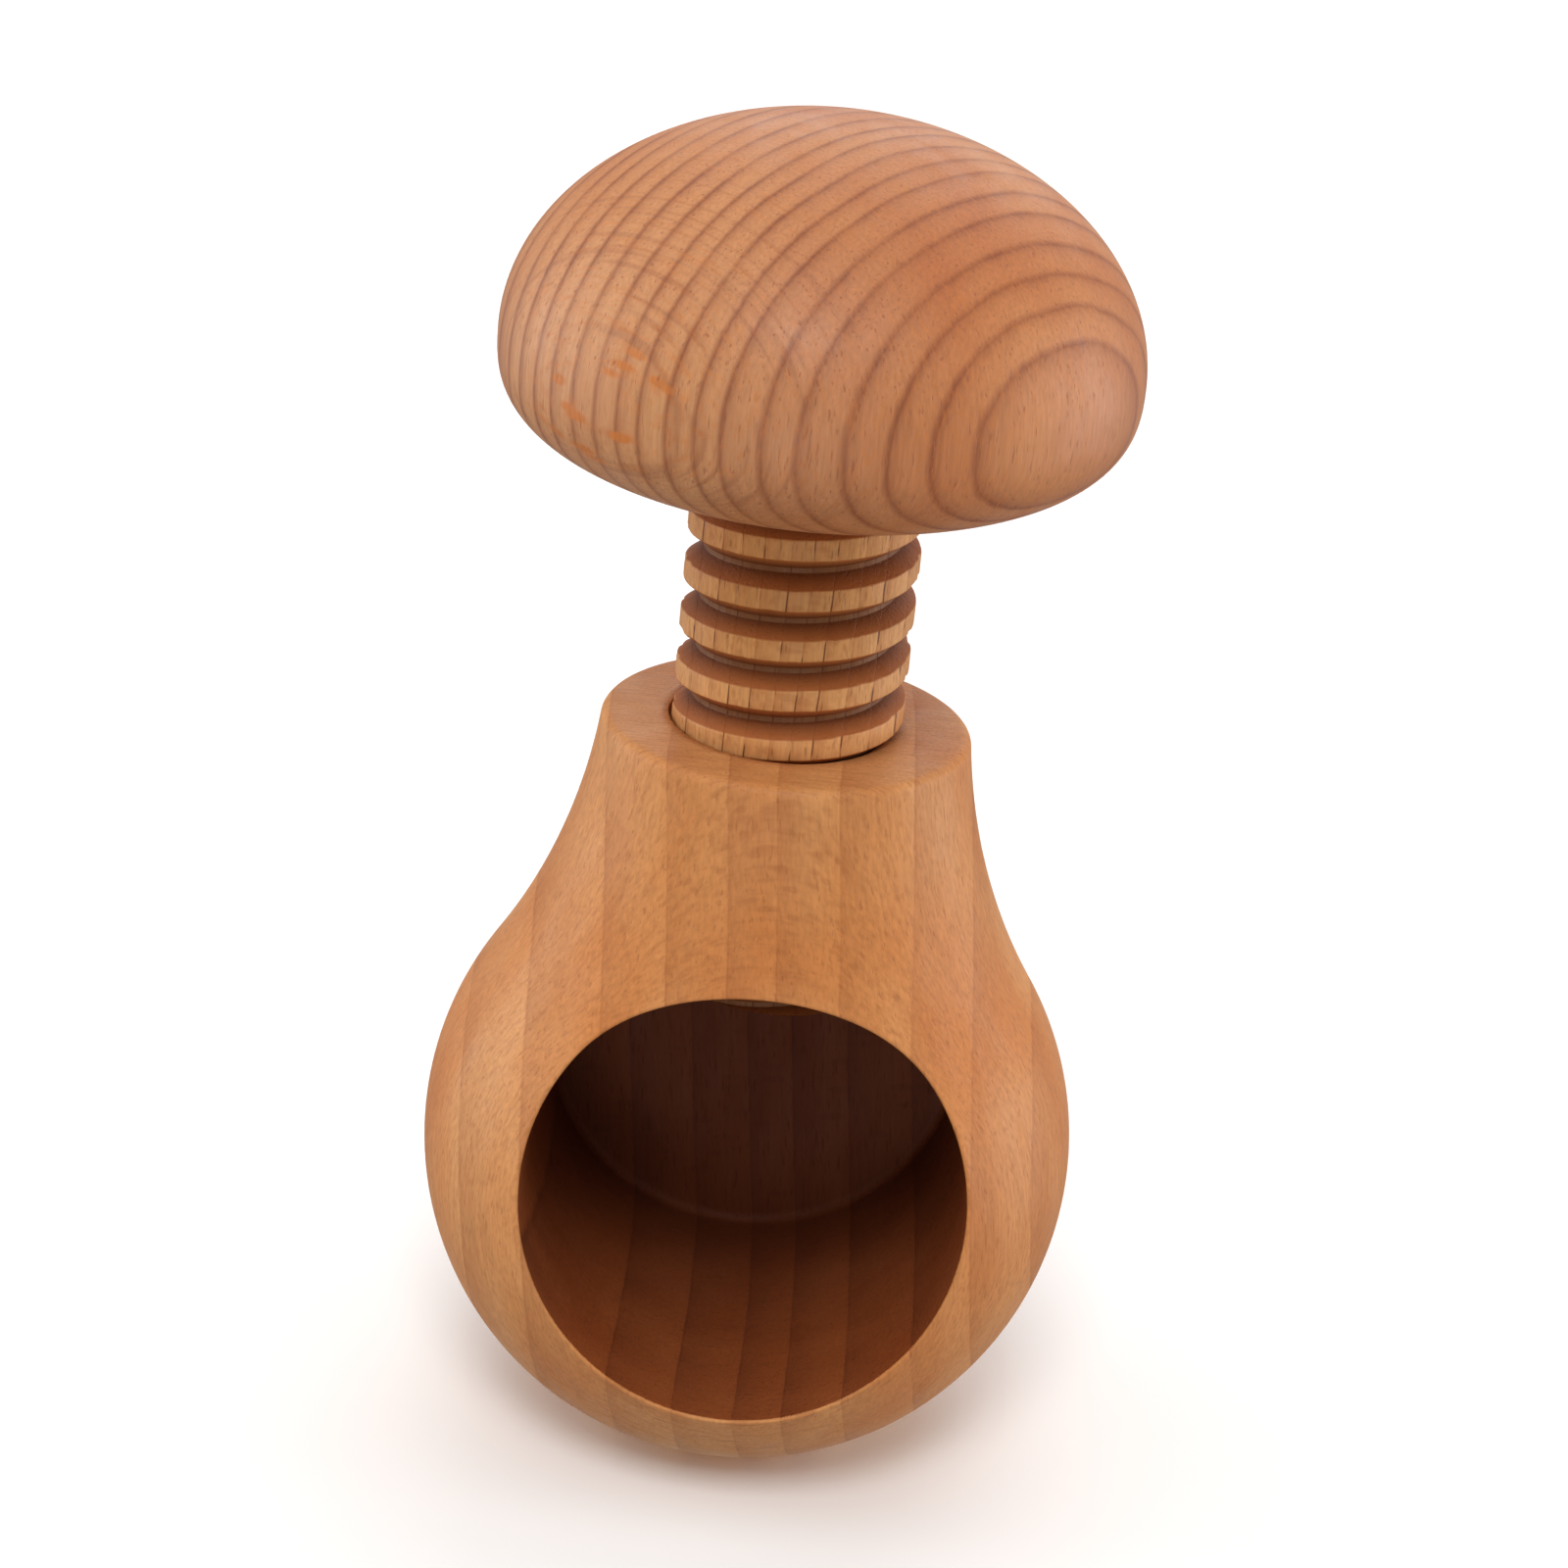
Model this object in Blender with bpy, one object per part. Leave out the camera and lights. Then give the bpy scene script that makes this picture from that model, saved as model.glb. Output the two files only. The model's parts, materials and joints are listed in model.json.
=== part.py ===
"""Turned wooden screw nutcracker, in metres, +Z up.

A ball with a flat foot and a concave neck is one block of wood. A blind round hole in its front
(-Y) takes the nut. A threaded wooden spindle runs down the neck into that hole, and a mushroom
shaped cap is glued on its top tenon as the handle. The origin is the middle of the foot.
"""

import math

import bmesh
import bpy
from mathutils import Matrix, Vector

# Block: ball, foot and neck
BALL_RADIUS = 0.0320
FOOT_RADIUS = 0.0140
FOOT_EDGE = 0.0010
NECK_TOP_RADIUS = 0.0176
NECK_TOP_RISE = 0.0445  # neck's top above the ball's centre
NECK_TOP_SLOPE = 0.10  # how fast the cove still narrows where it meets the top
NECK_EDGE = 0.0010
NECK_EDGE_BULGE = 0.3  # share of the edge that its middle point keeps clear of the corner

# Nut hole: blind, level, open to the front
HOLE_RADIUS = 0.0210
HOLE_RISE = 0.0044  # hole's axis above the ball's centre
HOLE_BACK_MARGIN = 0.00035  # back wall behind the back of the tapped hole
HOLE_CORNER = 0.0010

# Thread, right-handed, one start
PITCH = 0.0049
THREAD_RADIUS = 0.0110
THREAD_DEPTH = 0.0017
CREST_FLAT = 0.0020
ROOT_FLAT = 0.0005
CREST_RISE = 0.0011  # a crest's middle above the neck's top, at the front
RADIAL_PLAY = 0.00035
AXIAL_PLAY = 0.00015
MOUTH_EASE = 0.0004  # chamfer on the inner edge of the tapped hole's thread, at its mouth

# Spindle
TIP_RISE = 0.0186  # tip above the ball's centre, as the nutcracker stands ready
TIP_CHAMFER = 0.0006
TENON_RADIUS = 0.0070
TENON_LENGTH = 0.0150
TENON_CHAMFER = 0.0008

# Cap
CAP_RADIUS = 0.0297
CAP_DOME = 0.0216  # crown above the widest level
CAP_BELLY = 0.0124  # underside below the widest level
CAP_BELLY_POWER = 2.7  # 2 is an ellipse; more is flatter below with a rounder edge
CAP_CLEARANCE = 0.0239  # underside above the neck's top, as the nutcracker stands ready
MORTISE_EDGE = 0.0005

# Glue at the end of the mortise
GLUE_THICKNESS = 0.0012
GLUE_EDGE = 0.0003

GAP = 0.0003  # between pieces that touch

ROUND_STEPS = 64
THREAD_STEPS = 36  # for each turn
ARC_STEPS = 5
BALL_STEPS = 18
COVE_STEPS = 8
BELLY_STEPS = 11
DOME_STEPS = 13
SMOOTH_ANGLE = math.radians(35)
WELD = 1e-7  # vertices closer than this are one
LEVEL_WELD = 1e-6  # the same between turns of a thread, and for a height

BALL_CENTRE = math.sqrt(BALL_RADIUS**2 - FOOT_RADIUS**2)
NECK_TOP = BALL_CENTRE + NECK_TOP_RISE
HOLE_AXIS = BALL_CENTRE + HOLE_RISE
HOLE_BACK = THREAD_RADIUS + RADIAL_PLAY + HOLE_BACK_MARGIN
TIP = BALL_CENTRE + TIP_RISE
CREST = NECK_TOP + CREST_RISE
CAP_UNDERSIDE = NECK_TOP + CAP_CLEARANCE
SHOULDER = CAP_UNDERSIDE - GAP
CAP_WIDEST = CAP_UNDERSIDE + CAP_BELLY
TENON_TOP = SHOULDER + TENON_LENGTH
MORTISE_RADIUS = TENON_RADIUS + GAP
MORTISE_END = TENON_TOP + GLUE_THICKNESS + 2 * GAP
PAST = 2 * PITCH  # how far a cutter runs past what it cuts

WOODS = {
    "block_beech": ((0.655, 0.385, 0.205), 0.45),
    "spindle_beech": ((0.620, 0.350, 0.150), 0.50),
    "cap_beech": ((0.560, 0.265, 0.120), 0.38),
    "dried_wood_glue": ((0.800, 0.720, 0.480), 0.35),
}


def clear_scene():
    """Remove everything the file starts with."""
    for thing in list(bpy.data.objects):
        bpy.data.objects.remove(thing, do_unlink=True)


def arc(centre, radius, start, end, steps=ARC_STEPS):
    """Points (r, z) on an arc round a centre, from one angle to another."""
    turns = [start + (end - start) * step / steps for step in range(steps + 1)]
    return [(centre[0] + radius * math.cos(a), centre[1] + radius * math.sin(a)) for a in turns]


def cove():
    """Centre (r, z above the ball's centre) and radius of the neck's concave arc.

    The arc is tangent to the ball and ends at the neck's top with the stated slope.
    """
    lean = math.hypot(1.0, NECK_TOP_SLOPE)
    out, up = 1 / lean, NECK_TOP_SLOPE / lean
    short = BALL_RADIUS**2 - NECK_TOP_RADIUS**2 - NECK_TOP_RISE**2
    radius = short / (2 * (NECK_TOP_RADIUS * out + NECK_TOP_RISE * up - BALL_RADIUS))
    return (NECK_TOP_RADIUS + radius * out, NECK_TOP_RISE + radius * up), radius


def block_outline():
    """The block's turned outline (r, z), from the foot's middle to the middle of its top."""
    (cove_r, cove_rise), cove_radius = cove()
    meet = math.atan2(cove_rise, cove_r)
    foot = math.atan2(-BALL_CENTRE, FOOT_RADIUS)
    ball = arc((0, BALL_CENTRE), BALL_RADIUS, foot + FOOT_EDGE / BALL_RADIUS, meet, BALL_STEPS)
    top = math.atan2(NECK_TOP_RISE - cove_rise, NECK_TOP_RADIUS - cove_r) % (2 * math.pi)
    trim = NECK_EDGE / cove_radius
    bulge = NECK_EDGE * NECK_EDGE_BULGE
    neck = arc((cove_r, BALL_CENTRE + cove_rise), cove_radius, meet + math.pi, top + trim, COVE_STEPS)
    return (
        [(0, 0), (FOOT_RADIUS - FOOT_EDGE, 0)]
        + ball
        + neck[1:]
        + [(NECK_TOP_RADIUS - bulge, NECK_TOP - bulge)]
        + [(NECK_TOP_RADIUS - NECK_EDGE, NECK_TOP), (0, NECK_TOP)]
    )


def cap_outline():
    """The cap's turned outline (r, z), from the mortise's end down, round and over to the crown."""
    belly = []
    for step in range(1, BELLY_STEPS + 1):
        a = math.pi / 2 * step / BELLY_STEPS
        r = CAP_RADIUS * math.sin(a) ** (2 / CAP_BELLY_POWER)
        z = CAP_WIDEST - CAP_BELLY * math.cos(a) ** (2 / CAP_BELLY_POWER)
        belly.append((r, z))
    start = MORTISE_RADIUS + MORTISE_EDGE
    belly = [point for point in belly if point[0] > start + MORTISE_EDGE]
    dome = [
        (CAP_RADIUS * math.cos(a), CAP_WIDEST + CAP_DOME * math.sin(a))
        for a in (math.pi / 2 * step / DOME_STEPS for step in range(1, DOME_STEPS + 1))
    ]
    dome[-1] = (0, CAP_WIDEST + CAP_DOME)
    return [
        (0, MORTISE_END),
        (MORTISE_RADIUS, MORTISE_END),
        (MORTISE_RADIUS, CAP_UNDERSIDE + MORTISE_EDGE),
        (start, CAP_UNDERSIDE),
        *belly,
        *dome,
    ]


def hole_outline():
    """The nut hole's outline (r, distance forward of the back wall), as a boring bit leaves it."""
    reach = HOLE_BACK + BALL_RADIUS + PAST
    corner = arc((HOLE_RADIUS - HOLE_CORNER, HOLE_CORNER), HOLE_CORNER, -math.pi / 2, 0)
    return [(0, 0), *corner, (HOLE_RADIUS, reach), (0, reach)]


def mouth_outline():
    """A countersink for the mouth of the tapped hole, from its point up past the neck's top."""
    rim = THREAD_RADIUS + RADIAL_PLAY - THREAD_DEPTH + MOUTH_EASE
    return [(0, NECK_TOP - rim), (rim + PAST, NECK_TOP + PAST), (0, NECK_TOP + PAST)]


def spindle_outline():
    """The spindle's outline before it is threaded, from the middle of its tip to the
    middle of its tenon."""
    blank = THREAD_RADIUS + PITCH
    return [
        (0, TIP),
        (THREAD_RADIUS - TIP_CHAMFER, TIP),
        (blank, TIP + TIP_CHAMFER + blank - THREAD_RADIUS),
        (blank, SHOULDER),
        (TENON_RADIUS, SHOULDER),
        (TENON_RADIUS, TENON_TOP - TENON_CHAMFER),
        (TENON_RADIUS - TENON_CHAMFER, TENON_TOP),
        (0, TENON_TOP),
    ]


def glue_outline():
    """The glue's outline: a thin disc as wide as the tenon."""
    low = TENON_TOP + GAP
    high = low + GLUE_THICKNESS
    return [
        (0, low),
        (TENON_RADIUS - GLUE_EDGE, low),
        (TENON_RADIUS, low + GLUE_EDGE),
        (TENON_RADIUS, high - GLUE_EDGE),
        (TENON_RADIUS - GLUE_EDGE, high),
        (0, high),
    ]


def new_object(name, bm):
    """Make an object from a bmesh, shaded smooth but for its sharp edges."""
    bmesh.ops.remove_doubles(bm, verts=bm.verts, dist=WELD)
    bmesh.ops.recalc_face_normals(bm, faces=bm.faces)
    mesh = bpy.data.meshes.new(name)
    bm.to_mesh(mesh)
    bm.free()
    mesh.shade_smooth()
    mesh.set_sharp_from_angle(angle=SMOOTH_ANGLE)
    thing = bpy.data.objects.new(name, mesh)
    bpy.context.scene.collection.objects.link(thing)
    return thing


def chain(bm, points):
    """Join points into a run of edges, and return the run's vertices and edges."""
    verts = [bm.verts.new(point) for point in points]
    return verts + [bm.edges.new(pair) for pair in zip(verts, verts[1:])]


def turned(name, outline, steps=ROUND_STEPS):
    """Turn an outline of (r, z) points round the Z axis into a closed body."""
    bm = bmesh.new()
    geom = chain(bm, [(r, 0, z) for r, z in outline])
    bmesh.ops.spin(
        bm, geom=geom, axis=(0, 0, 1), cent=(0, 0, 0), angle=2 * math.pi, steps=steps, use_merge=True
    )
    return new_object(name, bm)


def threaded(name, low, high, radial_play=0.0, axial_play=0.0):
    """A right-handed threaded rod between two heights, grown by its play for a tapped hole.

    One pitch of the outline winds up the axis, and neighbouring turns share their vertices.
    """
    crest_radius = THREAD_RADIUS + radial_play
    root_radius = crest_radius - THREAD_DEPTH
    crest = CREST_FLAT / 2 + axial_play
    root = ROOT_FLAT / 2 - axial_play
    outline = [
        (crest_radius, -crest),
        (crest_radius, crest),
        (root_radius, PITCH / 2 - root),
        (root_radius, PITCH / 2 + root),
        (crest_radius, PITCH - crest),
    ]
    before = math.ceil((CREST - low) / PITCH) + 2
    turns = before + math.ceil((high - CREST) / PITCH) + 2
    bm = bmesh.new()
    geom = chain(bm, [(0, -r, CREST - before * PITCH + z) for r, z in outline])
    bmesh.ops.spin(
        bm,
        geom=geom,
        axis=(0, 0, 1),
        cent=(0, 0, 0),
        dvec=(0, 0, PITCH / THREAD_STEPS),
        angle=2 * math.pi * turns,
        steps=turns * THREAD_STEPS,
    )
    bmesh.ops.remove_doubles(bm, verts=bm.verts, dist=LEVEL_WELD)
    for level, facing in ((low, -1), (high, 1)):
        bmesh.ops.bisect_plane(
            bm,
            geom=bm.verts[:] + bm.edges[:] + bm.faces[:],
            plane_co=(0, 0, level),
            plane_no=(0, 0, facing),
            clear_outer=True,
        )
        rim = [edge for edge in bm.edges if edge.is_boundary and near(edge, level)]
        bmesh.ops.holes_fill(bm, edges=rim)
    return new_object(name, bm)


def near(edge, level):
    """Whether both ends of an edge lie at a height."""
    return all(abs(vert.co.z - level) < LEVEL_WELD for vert in edge.verts)


def cut(thing, tool, operation):
    """Add a Boolean with a hidden tool."""
    tool.hide_render = True
    tool.display_type = "WIRE"
    boolean = thing.modifiers.new(tool.name, "BOOLEAN")
    boolean.operation = operation
    boolean.solver = "EXACT"
    boolean.object = tool


def finish(thing, wood):
    """Give a piece its material."""
    colour, roughness = WOODS[wood]
    material = bpy.data.materials.new(wood)
    material.use_nodes = True
    shader = material.node_tree.nodes["Principled BSDF"]
    shader.inputs["Base Color"].default_value = (*colour, 1)
    shader.inputs["Roughness"].default_value = roughness
    shader.inputs["Metallic"].default_value = 0
    thing.data.materials.append(material)


def hang(thing, holder, height):
    """Put a piece's origin at a height on the axis, and parent it to an empty."""
    thing.data.transform(Matrix.Translation(Vector((0, 0, -height))))
    thing.parent = holder
    thing.location = (0, 0, height - holder.matrix_world.translation.z)


def empty(name, height, holder=None):
    """An empty on the axis of the spindle, under its holder if it has one."""
    thing = bpy.data.objects.new(name, None)
    bpy.context.scene.collection.objects.link(thing)
    thing.parent = holder
    thing.location = (0, 0, height)
    bpy.context.view_layer.update()
    return thing


def build_block():
    """The ball and neck, bored for the nut and tapped for the spindle."""
    block = turned("body_block", block_outline())
    hole = turned("cut_nut_hole", hole_outline())
    forward = Matrix.Rotation(math.pi / 2, 4, "X")
    hole.data.transform(Matrix.Translation((0, HOLE_BACK, HOLE_AXIS)) @ forward)
    cut(block, hole, "DIFFERENCE")
    tap = threaded("cut_tap", HOLE_AXIS, NECK_TOP + PAST, RADIAL_PLAY, AXIAL_PLAY)
    cut(block, tap, "DIFFERENCE")
    cut(block, turned("cut_mouth", mouth_outline()), "DIFFERENCE")
    finish(block, "block_beech")


def build_spindle(holder):
    """The threaded rod with a plain tenon at its top."""
    spindle = turned("screw_spindle", spindle_outline(), THREAD_STEPS)
    thread = threaded("cut_thread", TIP - PAST, TENON_TOP + PAST)
    cut(spindle, thread, "INTERSECT")
    finish(spindle, "spindle_beech")
    hang(spindle, holder, SHOULDER)
    hang(thread, holder, SHOULDER)


def build_cap(holder):
    """The mushroom cap with its blind mortise."""
    cap = turned("mushroom_cap", cap_outline())
    finish(cap, "cap_beech")
    hang(cap, holder, CAP_UNDERSIDE)


def build_glue(holder):
    """The pad of dried glue between the tenon's end and the mortise's end."""
    glue = turned("glue_pad", glue_outline(), THREAD_STEPS)
    finish(glue, "dried_wood_glue")
    hang(glue, holder, TENON_TOP)


def main():
    """Build every piece in its place."""
    clear_scene()
    build_block()
    travel = empty("travel_axis", NECK_TOP)
    turn = empty("turn_axis", 0, travel)
    build_glue(travel)
    build_spindle(turn)
    build_cap(turn)


main()
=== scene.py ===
"""The looks of a turned wooden screw nutcracker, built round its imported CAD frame.

Lengths are in metres unless a name ends in _mm. The object stands on its foot at the origin,
its nut hole faces -Y, and its screw turns round +Z.
"""

import json
import logging
import math
from dataclasses import dataclass, field, replace
from enum import Enum
from typing import Callable, Union

import bmesh
import bpy
from mathutils import Matrix, Vector, noise

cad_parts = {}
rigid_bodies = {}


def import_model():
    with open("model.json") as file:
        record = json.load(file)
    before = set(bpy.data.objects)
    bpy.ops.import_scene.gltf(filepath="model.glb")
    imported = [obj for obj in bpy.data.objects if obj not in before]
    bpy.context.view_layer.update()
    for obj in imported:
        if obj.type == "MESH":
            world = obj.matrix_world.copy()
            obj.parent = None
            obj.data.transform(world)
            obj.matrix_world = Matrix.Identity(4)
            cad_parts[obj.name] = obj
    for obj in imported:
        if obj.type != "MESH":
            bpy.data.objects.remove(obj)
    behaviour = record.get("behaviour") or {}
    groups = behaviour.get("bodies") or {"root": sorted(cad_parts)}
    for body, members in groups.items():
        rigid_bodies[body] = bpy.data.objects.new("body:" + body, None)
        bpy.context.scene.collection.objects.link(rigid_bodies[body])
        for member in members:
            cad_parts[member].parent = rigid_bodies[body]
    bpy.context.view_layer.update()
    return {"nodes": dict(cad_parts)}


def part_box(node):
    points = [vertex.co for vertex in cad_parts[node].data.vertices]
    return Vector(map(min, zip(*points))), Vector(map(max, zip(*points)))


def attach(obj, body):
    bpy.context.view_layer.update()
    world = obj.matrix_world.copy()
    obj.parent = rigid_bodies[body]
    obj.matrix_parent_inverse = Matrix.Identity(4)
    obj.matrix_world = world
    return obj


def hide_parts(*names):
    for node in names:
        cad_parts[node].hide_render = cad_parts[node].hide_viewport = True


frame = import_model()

LOG = logging.getLogger("nutcracker")

MM = 0.001
FULL_TURN = 2 * math.pi
WELD = 1e-7  # vertices closer than this are one
LEVEL_WELD = 10 * WELD  # the same for vertices on a level cut
CREASE = math.radians(32)  # an edge sharper than this stays sharp

Outline = list[tuple[float, float]]
Value = Union[float, int, tuple, str, bpy.types.Node, bpy.types.NodeSocket]


# ---------------------------------------------------------------- outlines and meshes


def arc(centre: tuple[float, float], radius: float, start: float, end: float, steps: int) -> Outline:
    """Work out points along an arc.

    Args:
        centre: The arc's centre (r, z).
        radius: Its radius.
        start: The angle it starts at, in radians.
        end: The angle it ends at.
        steps: How many chords it is drawn with.

    Returns:
        The points (r, z), both ends included.
    """
    angles = [start + (end - start) * step / steps for step in range(steps + 1)]
    return [(centre[0] + radius * math.cos(a), centre[1] + radius * math.sin(a)) for a in angles]


def eased(outline: Outline, edges: dict[int, float], steps: int = 6) -> Outline:
    """Round some corners of an outline.

    Args:
        outline: The points (r, z).
        edges: The rounding radius of each corner to round, by the point's place in the outline.
        steps: How many chords each rounding is drawn with.

    Returns:
        The outline with arcs in place of those corners.
    """
    points: Outline = []
    for place, point in enumerate(outline):
        if place not in edges:
            points.append(point)
            continue
        corner = Vector(point)
        back = (Vector(outline[place - 1]) - corner).normalized()
        ahead = (Vector(outline[(place + 1) % len(outline)]) - corner).normalized()
        half = back.angle(ahead) / 2
        centre = corner + (back + ahead).normalized() * (edges[place] / math.sin(half))
        reach = edges[place] / math.tan(half)
        start, end = corner + back * reach - centre, corner + ahead * reach - centre
        first = math.atan2(start.y, start.x)
        sweep = (math.atan2(end.y, end.x) - first + math.pi) % FULL_TURN - math.pi
        points += arc(tuple(centre), edges[place], first, first + sweep, steps)
    return points


def chain(bm: bmesh.types.BMesh, points: list[Vector]) -> list:
    """Join points into a run of edges.

    Args:
        bm: The mesh that takes them.
        points: The points in order.

    Returns:
        The new vertices and edges.
    """
    verts = [bm.verts.new(point) for point in points]
    return verts + [bm.edges.new(pair) for pair in zip(verts, verts[1:])]


def as_object(name: str, bm: bmesh.types.BMesh) -> bpy.types.Object:
    """Make an object of a mesh that is being built.

    Args:
        name: The object's name.
        bm: The mesh, which is freed.

    Returns:
        The object, linked to the scene.
    """
    bmesh.ops.remove_doubles(bm, verts=bm.verts, dist=WELD)
    bmesh.ops.recalc_face_normals(bm, faces=bm.faces)
    mesh = bpy.data.meshes.new(name)
    bm.to_mesh(mesh)
    bm.free()
    mesh.shade_smooth()
    mesh.set_sharp_from_angle(angle=CREASE)
    thing = bpy.data.objects.new(name, mesh)
    bpy.context.scene.collection.objects.link(thing)
    return thing


def turned(name: str, outline: Outline, steps: int) -> bpy.types.Object:
    """Turn an outline round the Z axis, as on a lathe.

    Args:
        name: The object's name.
        outline: Points (r, z) from the axis to the axis.
        steps: How many facets go round.

    Returns:
        The closed body.
    """
    bm = bmesh.new()
    geom = chain(bm, [Vector((r, 0, z)) for r, z in outline])
    bmesh.ops.spin(
        bm, geom=geom, axis=(0, 0, 1), cent=(0, 0, 0), angle=FULL_TURN, steps=steps, use_merge=True
    )
    return as_object(name, bm)


def carve(thing: bpy.types.Object, tool: bpy.types.Object, operation: str = "DIFFERENCE") -> None:
    """Carve a body with a tool, and throw the tool away.

    Args:
        thing: The body.
        tool: The tool's closed shape.
        operation: What the Boolean does.
    """
    boolean = thing.modifiers.new(tool.name, "BOOLEAN")
    boolean.operation = operation
    boolean.solver = "EXACT"
    boolean.object = tool
    bpy.context.view_layer.update()
    graph = bpy.context.evaluated_depsgraph_get()
    carved = bpy.data.meshes.new_from_object(thing.evaluated_get(graph))
    thing.modifiers.clear()
    thing.data = carved
    bpy.data.objects.remove(tool, do_unlink=True)


@dataclass(frozen=True)
class WoodThread:
    """A right-handed thread cut in wood, with one start."""

    pitch: float = 0.0049
    radius: float = 0.0110
    depth: float = 0.0017
    crest: float = 0.0020  # flat on the crest, before its edges are eased
    root: float = 0.0005  # flat in the groove
    rise: float = 0.0011  # a crest's middle above the neck's top, at the front
    crest_edge: float = 0.00036
    root_edge: float = 0.00014
    steps: int = 96  # for each turn

    def rod(self, name: str, low: float, high: float, neck_top: float,
            radial_play: float = 0.0, axial_play: float = 0.0) -> bpy.types.Object:
        """Wind one pitch of the outline up the axis into a threaded rod.

        Args:
            name: The object's name.
            low: The height of its lower end.
            high: The height of its upper end.
            neck_top: The height that the thread's phase is counted from.
            radial_play: What a tapped hole adds to the radius.
            axial_play: What a tapped hole adds to each side of the crest.

        Returns:
            The closed rod.
        """
        crest_radius = self.radius + radial_play
        root_radius = crest_radius - self.depth
        crest = self.crest / 2 + axial_play
        root = self.root / 2 - axial_play
        outline = [
            (crest_radius, 0),
            (crest_radius, crest),
            (root_radius, self.pitch / 2 - root),
            (root_radius, self.pitch / 2 + root),
            (crest_radius, self.pitch - crest),
            (crest_radius, self.pitch),
        ]
        outline = eased(
            outline, {1: self.crest_edge, 2: self.root_edge, 3: self.root_edge, 4: self.crest_edge}, 4
        )
        datum = neck_top + self.rise
        before = math.ceil((datum - low) / self.pitch) + 2
        turns = before + math.ceil((high - datum) / self.pitch) + 2
        bm = bmesh.new()
        start = datum - before * self.pitch
        geom = chain(bm, [Vector((0, -r, start + z)) for r, z in outline])
        bmesh.ops.spin(
            bm, geom=geom, axis=(0, 0, 1), cent=(0, 0, 0), dvec=(0, 0, self.pitch / self.steps),
            angle=FULL_TURN, steps=self.steps,
        )
        turn = bm.verts[:] + bm.edges[:] + bm.faces[:]
        for number in range(1, turns):
            copy = bmesh.ops.duplicate(bm, geom=turn)["geom"]
            raised = [item for item in copy if isinstance(item, bmesh.types.BMVert)]
            bmesh.ops.translate(bm, verts=raised, vec=(0, 0, number * self.pitch))
        bmesh.ops.remove_doubles(bm, verts=bm.verts, dist=LEVEL_WELD)
        for level, facing in ((low, -1), (high, 1)):
            bmesh.ops.bisect_plane(
                bm, geom=bm.verts[:] + bm.edges[:] + bm.faces[:], plane_co=(0, 0, level),
                plane_no=(0, 0, facing), clear_outer=True,
            )
            rim = [
                edge for edge in bm.edges
                if edge.is_boundary and all(abs(v.co.z - level) < LEVEL_WELD for v in edge.verts)
            ]
            bmesh.ops.holes_fill(bm, edges=rim)
        return as_object(name, bm)


# ---------------------------------------------------------------- materials


def linear(code: str) -> tuple[float, float, float, float]:
    """Turn an sRGB hex colour to linear.

    Args:
        code: The colour, as "#RRGGBB".

    Returns:
        Linear red, green, blue and an alpha of 1.
    """
    shares = [int(code[place:place + 2], 16) / 255 for place in (1, 3, 5)]
    return (*(s / 12.92 if s <= 0.04045 else ((s + 0.055) / 1.055) ** 2.4 for s in shares), 1.0)


def add(tree: bpy.types.NodeTree, kind: str, links: dict, **settings: Value) -> bpy.types.Node:
    """Add a node with its settings and links.

    Args:
        tree: The material's nodes.
        kind: The node's type, without its ShaderNode prefix.
        links: What goes in each input, by name or place: a number, a colour as hex, a socket, or
            a node for its first output.
        **settings: The node's own properties.

    Returns:
        The node.
    """
    made = tree.nodes.new("ShaderNode" + kind)
    for name, value in settings.items():
        setattr(made, name, value)
    for place, value in links.items():
        if isinstance(value, bpy.types.Node):
            value = next(out for out in value.outputs if out.enabled)
        if isinstance(value, bpy.types.NodeSocket):
            tree.links.new(value, made.inputs[place])
        else:
            made.inputs[place].default_value = linear(value) if isinstance(value, str) else value
    return made


def blank_material(name: str) -> tuple[bpy.types.Material, bpy.types.NodeTree, bpy.types.NodeSocket]:
    """Start a material.

    Args:
        name: Its name.

    Returns:
        The material, its empty node tree and, in it, the object's own coordinates.
    """
    made = bpy.data.materials.new(name)
    made.use_nodes = True
    made.node_tree.nodes.clear()
    return made, made.node_tree, add(made.node_tree, "TexCoord", {}).outputs["Object"]


class RingEdge(Enum):
    """How dark the wood is at each share of a year's width, as (share, darkness)."""

    LINE = ((0.0, 0.9), (0.07, 0.55), (0.22, 0.22), (0.55, 0.0), (0.82, 0.08), (0.93, 0.7), (1.0, 1.0))
    STEP = ((0.0, 1.0), (0.035, 0.72), (0.22, 0.50), (0.55, 0.2), (0.9, 0.0), (0.975, 0.05), (1.0, 1.0))


NOISE_LOW, NOISE_HIGH = 0.3, 0.7  # nearly all of a noise lies between these
BUMP_STRENGTH = 0.55
FIBRE_HEIGHT = 0.00006  # how high the fibres stand where a finish's relief is 1
PORE_DEPTH = 0.9  # how deep a pore is, as a share of the fibres' height
RING_DEPTH = 0.5  # the same for the last wood of a year
RAGGED_MM = 0.25  # how far a ring's edge is frayed


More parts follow.
